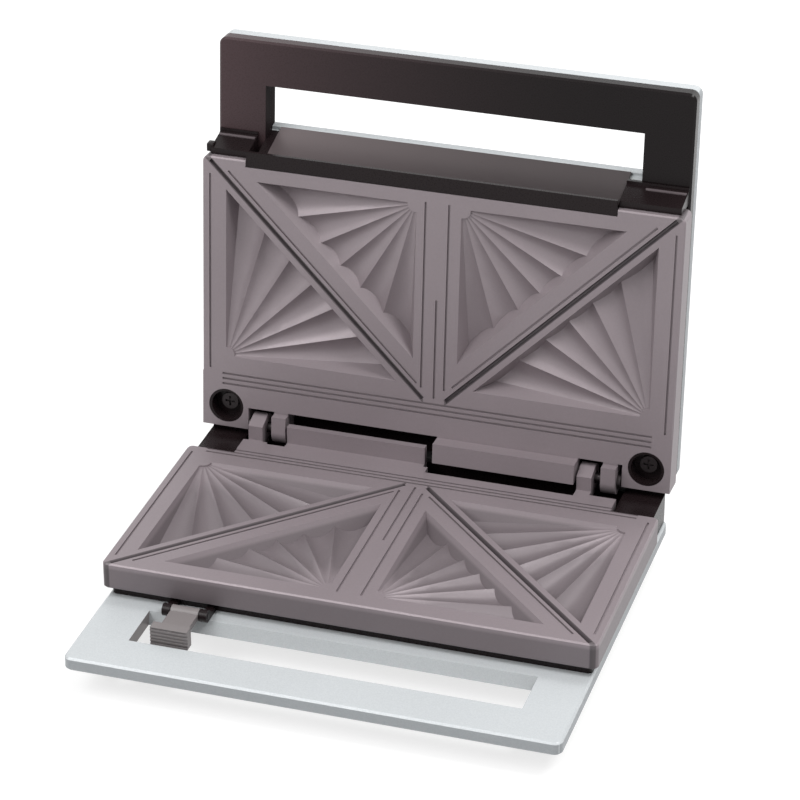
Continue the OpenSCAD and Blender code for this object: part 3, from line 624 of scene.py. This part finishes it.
@dataclass
class BaseUnit(SubAssembly):
    """Lower half: silver casing, dark frame, lower plate, underside, feet, and a black strip of
    painted shade in the hinge gaps.
    """

    casing_rounding: Rounding = Rounding(0.5)
    frame_rounding: Rounding = Rounding(0.3, 2)
    window: GripWindow = GripWindow(96.0, (-121.0, -78.0), (13.5, 21.5))
    side_mm: float = 119.3
    front_mm: float = -121.4
    gap_shade_half_mm: float = 107.0
    gap_shade_y_mm: Span = (83.6, 90.4)
    gap_shade_z_mm: Span = (30.2, 35.8)
    gap_shade_lead_mm: Place = (0.0, -2.4, 1.2)
    gap_shade_rounding: Rounding = Rounding(0.6, angle_deg=20.0)

    def hinge_gap_shade(self) -> None:
        """Builds a black strip behind the hinge that fills the gaps there with painted shade."""
        low, high = zip((-self.gap_shade_half_mm, self.gap_shade_half_mm), self.gap_shade_y_mm, self.gap_shade_z_mm)
        strip = self.block("hinge_gap_shade_strip", low, high)
        # The lower rear edge is drawn in.
        self.shift(strip, lambda at: at.y > high[1] - NEAR_MM and at.z < low[2] + NEAR_MM,
                   self.gap_shade_lead_mm)
        self.gap_shade_rounding.cut(strip)
        wear(strip, RUBBER)
        self.fit(strip, Body.BASE, "foot_rubber")

    def is_upright(self, at: Vector, normal: Vector) -> bool:
        """Says whether a face is on the casing's front or side edge.

        Args:
            at: The face's middle, in millimetres.
            normal: Its normal.

        Returns:
            True there.
        """
        return abs(normal.z) < ACROSS and (abs(at.x) > self.side_mm or at.y < self.front_mm)

    def build(self) -> None:
        """Builds and dresses the lower half."""
        self.hinge_gap_shade()
        casing = self.soften("base_shell", "base_casing", Body.BASE, "silver_paint", SILVER,
                             self.casing_rounding)
        # The ends of the window take the lever's grey: painted shade.
        self.mask(casing, LEVER, self.window.is_end)
        # Upright faces take the greyer silver: painted shade.
        self.mask(casing, SILVER_SHADED_SIDE, self.is_upright)
        self.soften("base_inner_frame", "base_frame_moulding", Body.BASE, "dark_frame",
                    DARK_FRAME, self.frame_rounding)
        self.dress({"lower_plate": LOWER_PLATE, "base_bottom_cover": UNDERSIDE, "feet": RUBBER,
                    "cord_gland": RUBBER, "cover_screws": STEEL, "lower_plate_screws": STEEL})


@dataclass
class LidUnit(SubAssembly):
    """Upper half: silver casing, dark frame, upper plate, grip liner and pilot lamps."""

    casing_rounding: Rounding = Rounding(0.5)
    frame_rounding: Rounding = Rounding(0.3, 2)
    window: GripWindow = GripWindow(96.0, (-math.inf, math.inf), (184.0, 220.0))
    side_mm: float = 119.3
    lean_deg: float = 4.2
    face_depth_mm: float = 89.8
    bead_x_mm: tuple[Span, Span] = ((-118.9, -100.2), (98.8, 118.9))
    bead_y_mm: Span = (99.9, 101.5)
    bead_z_mm: Span = (191.2, 193.0)
    bead_slope_mm: Place = (0.0, 0.3, -0.4)
    bead_rounding: Rounding = Rounding(0.3, angle_deg=20.0)
    tab_x_mm: Span = (-122.4, -118.8)
    tab_y_mm: Span = (90.0, 94.5)
    tab_z_mm: Span = (188.4, 192.6)
    tab_slope_mm: Place = (0.5, 0.0, -1.4)
    tab_rounding: Rounding = Rounding(0.4, angle_deg=20.0)

    def is_upright(self, at: Vector, normal: Vector) -> bool:
        """Says from a face's middle and normal whether it is on the left or right edge."""
        return abs(normal.y) < ACROSS and abs(at.x) > self.side_mm

    def is_wall(self, at: Vector, normal: Vector) -> bool:
        """Says from a face's middle whether it is on the wall or lip before the frame's face."""
        lean = math.radians(self.lean_deg)
        return at.y * math.cos(lean) - at.z * math.sin(lean) < self.face_depth_mm

    def cheek_beads(self) -> None:
        """Builds the bead that crosses each cheek of the dark wall, beside the liner."""
        for side, ends in zip(("left", "right"), self.bead_x_mm):
            low, high = zip(ends, self.bead_y_mm, self.bead_z_mm)
            bead = self.block(f"cheek_bead_{side}", low, high)
            # The upper front edge is drawn back and down, so that the bead has a crest.
            self.shift(bead, lambda at: at.y < low[1] + NEAR_MM and at.z > high[2] - NEAR_MM,
                       self.bead_slope_mm)
            self.bead_rounding.cut(bead)
            # The bead's paler tone is a painted highlight.
            wear(bead, HIGHLIGHT_BEAD)
            self.fit(bead, Body.LID, "dark_frame")

    def cheek_tab(self) -> None:
        """Builds the small tab at the left end of the dark wall, flush with the plate's edge."""
        low, high = zip(self.tab_x_mm, self.tab_y_mm, self.tab_z_mm)
        tab = self.block("cheek_tab", low, high)
        # The upper outer edge is drawn in and down.
        self.shift(tab, lambda at: at.x < low[0] + NEAR_MM and at.z > high[2] - NEAR_MM,
                   self.tab_slope_mm)
        self.tab_rounding.cut(tab)
        wear(tab, DARK_FRAME)
        self.fit(tab, Body.LID, "dark_frame")

    def build(self) -> None:
        """Builds and dresses the upper half."""
        casing = self.soften("lid_shell", "lid_casing", Body.LID, "silver_paint", SILVER,
                             self.casing_rounding)
        moulding = self.soften("lid_inner_frame", "lid_frame_moulding", Body.LID, "dark_frame",
                               LID_FRAME, self.frame_rounding)
        # The painted sheen stays on the frame's face; the wall and the lip below it keep the plain
        # dark colour.
        self.mask(moulding, DARK_FRAME, self.is_wall)
        # The window's ends go flat black: painted shade on the silver casing.
        for piece in (casing, moulding):
            self.mask(piece, SHADED_REVEAL, self.window.is_end)
        # Upright faces take the greyer silver: painted shade.
        self.mask(casing, SILVER_SHADED_SIDE, self.is_upright)
        self.cheek_tab()
        self.cheek_beads()
        self.dress({"upper_plate": PLATE, "grip_liner": LINER, "lid_screws": BLACK_STEEL,
                    "upper_plate_screws": STEEL, "power_lamp": RED_LENS,
                    "ready_lamp": GREEN_LENS, "lamp_holder": CERAMIC})


@dataclass
class HeatingSet(SubAssembly):
    """Heaters, reflectors and the parts that switch and guard them."""

    def build(self) -> None:
        """Dresses the heating parts."""
        self.dress({"lower_heater": STEEL, "upper_heater": STEEL, "lower_reflector": STEEL,
                    "upper_reflector": STEEL, "lower_reflector_screws": STEEL,
                    "upper_reflector_screws": STEEL, "thermostat": CERAMIC,
                    "thermal_fuse": CERAMIC, "terminal_block": CERAMIC})


@dataclass
class LatchAndPins(SubAssembly):
    """Swinging latch at the front and the pins that the moving parts turn on."""

    lever_rounding: Rounding = Rounding(0.25, 2)

    def build(self) -> None:
        """Builds the lever and dresses the pins."""
        self.soften("latch", "latch_lever", Body.LATCH, "latch_grey", LEVER,
                    self.lever_rounding)
        self.dress({"latch_pin": BLACK_STEEL, "hinge_pin_left": BLACK_STEEL,
                    "hinge_pin_right": BLACK_STEEL})


def aim(piece: bpy.types.Object, target: Vector) -> None:
    """Turns a lamp or camera to look at a point.

    Args:
        piece: Lamp or camera that is already in its place.
        target: The point, in metres.
    """
    away = target - piece.location
    piece.rotation_euler = away.to_track_quat("-Z", "Y").to_euler()


@dataclass(frozen=True)
class Lamp:
    """Square studio lamp."""

    name: str
    place_m: Place
    size_m: float
    watts: float
    target_m: Place = (0.0, 0.0, 0.1)

    def add(self) -> None:
        """Adds the lamp, turned to the object."""
        bpy.ops.object.light_add(type="AREA", location=self.place_m)
        lamp = bpy.context.active_object
        lamp.name = self.name
        lamp.data.size = self.size_m
        lamp.data.energy = self.watts
        aim(lamp, Vector(self.target_m))


@dataclass
class Studio:
    """Floor, lamps and camera."""

    floor_half_m: float = 6.0
    glow: Span = (0.74, 0.95)
    glow_reach_m: Span = (0.35, 1.1)
    floor_colour: str = "#a3a3a3"
    bounce_colour: str = "#bcbcbc"
    air_colour: str = "#ffffff"
    air_light: float = 0.35
    # A broad key lamp, two small ones that rake the plates, and a weak rear lamp.
    lamps: tuple[Lamp, ...] = (
        Lamp("key_lamp", (-0.9, -1.0, 1.5), 1.2, 24.0),
        Lamp("top_lamp", (0.75, -0.2, 1.25), 0.4, 9.0),
        Lamp("rake_lamp", (0.35, 0.5, 1.4), 0.4, 4.8),
        Lamp("rear_lamp", (0.9, 1.5, 0.9), 1.8, 6.0))
    camera_mm: Place = (424.9, -1340.9, 885.6)
    target_mm: Place = (8.54, -6.32, 118.03)
    focal_px: float = 3382.08
    picture_px: float = 800.0
    sensor_mm: float = 36.0

    @staticmethod
    def _seen(tree: bpy.types.NodeTree) -> bpy.types.NodeSocket:
        """Adds a switch between what is seen and what lights the object.

        Args:
            tree: Node tree of the floor or the world.

        Returns:
            Socket that is 1 for the camera, a gloss or a lens, and 0 for plain light.
        """
        path = add_node(tree, "ShaderNodeLightPath").outputs
        gloss = add_node(tree, "ShaderNodeMath",
                         {0: path["Is Glossy Ray"], 1: path["Is Transmission Ray"]},
                         operation="MAXIMUM").outputs[0]
        return add_node(tree, "ShaderNodeMath", {0: path["Is Camera Ray"], 1: gloss},
                        operation="MAXIMUM").outputs[0]

    def floor(self) -> None:
        """Adds a plain pale floor that shows white to the camera and keeps the shadow."""
        bpy.ops.mesh.primitive_plane_add(size=2 * self.floor_half_m)
        sheet = bpy.context.active_object
        sheet.name = "studio_floor"
        paint = bpy.data.materials.new("studio_paper")
        paint.use_nodes = True
        tree = paint.node_tree
        tree.nodes.clear()
        lit = add_node(tree, "ShaderNodeBsdfDiffuse",
                       {"Color": linear(self.floor_colour)}).outputs[0]
        # The glow is weaker near the object, where the floor has to keep the shadow.
        place = add_node(tree, "ShaderNodeTexCoord").outputs["Object"]
        away = add_node(tree, "ShaderNodeVectorMath", {0: place},
                        operation="LENGTH").outputs["Value"]
        near, far = self.glow_reach_m
        level = add_node(tree, "ShaderNodeMapRange",
                         {"Value": away, "From Min": near, "From Max": far,
                          "To Min": self.glow[0], "To Max": self.glow[1]}).outputs[0]
        glow = add_node(tree, "ShaderNodeEmission", {"Strength": level}).outputs[0]
        pale = add_node(tree, "ShaderNodeAddShader", {0: lit, 1: glow}).outputs[0]
        dull = add_node(tree, "ShaderNodeBsdfDiffuse",
                        {"Color": linear(self.bounce_colour)}).outputs[0]
        both = add_node(tree, "ShaderNodeMixShader",
                        {0: self._seen(tree), 1: dull, 2: pale}).outputs[0]
        add_node(tree, "ShaderNodeOutputMaterial", {"Surface": both})
        sheet.data.materials.append(paint)

    def air(self) -> None:
        """Adds a pale surround that lights the object weakly and is seen as white."""
        world = bpy.data.worlds.new("studio_air")
        bpy.context.scene.world = world
        world.use_nodes = True
        tree = world.node_tree
        tree.nodes.clear()
        light, view = (add_node(tree, "ShaderNodeBackground",
                                {"Color": linear(self.air_colour), "Strength": level}).outputs[0]
                       for level in (self.air_light, 1.0))
        both = add_node(tree, "ShaderNodeMixShader",
                        {0: self._seen(tree), 1: light, 2: view}).outputs[0]
        add_node(tree, "ShaderNodeOutputWorld", {"Surface": both})

    def camera(self) -> None:
        """Adds the camera."""
        bpy.ops.object.camera_add(location=Vector(self.camera_mm) * MM)
        camera = bpy.context.active_object
        camera.name = "camera"
        aim(camera, Vector(self.target_mm) * MM)
        camera.data.sensor_width = self.sensor_mm
        camera.data.lens = self.focal_px / self.picture_px * self.sensor_mm
        bpy.context.scene.camera = camera
        bpy.context.scene.view_settings.view_transform = "Standard"

    def build(self) -> None:
        """Sets up the whole studio."""
        self.camera()
        self.floor()
        self.air()
        for lamp in self.lamps:
            lamp.add()


def main() -> None:
    """Builds every sub-assembly in order and reports it."""
    logging.basicConfig(level=logging.INFO, format="%(name)s: %(message)s")
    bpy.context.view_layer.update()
    nodes = frame["nodes"]
    Studio().build()
    for unit in (BaseUnit(nodes), LidUnit(nodes), HeatingSet(nodes), LatchAndPins(nodes)):
        unit.build()
        LOG.info("%s is complete", type(unit).__name__)


if __name__ == "__main__":
    main()
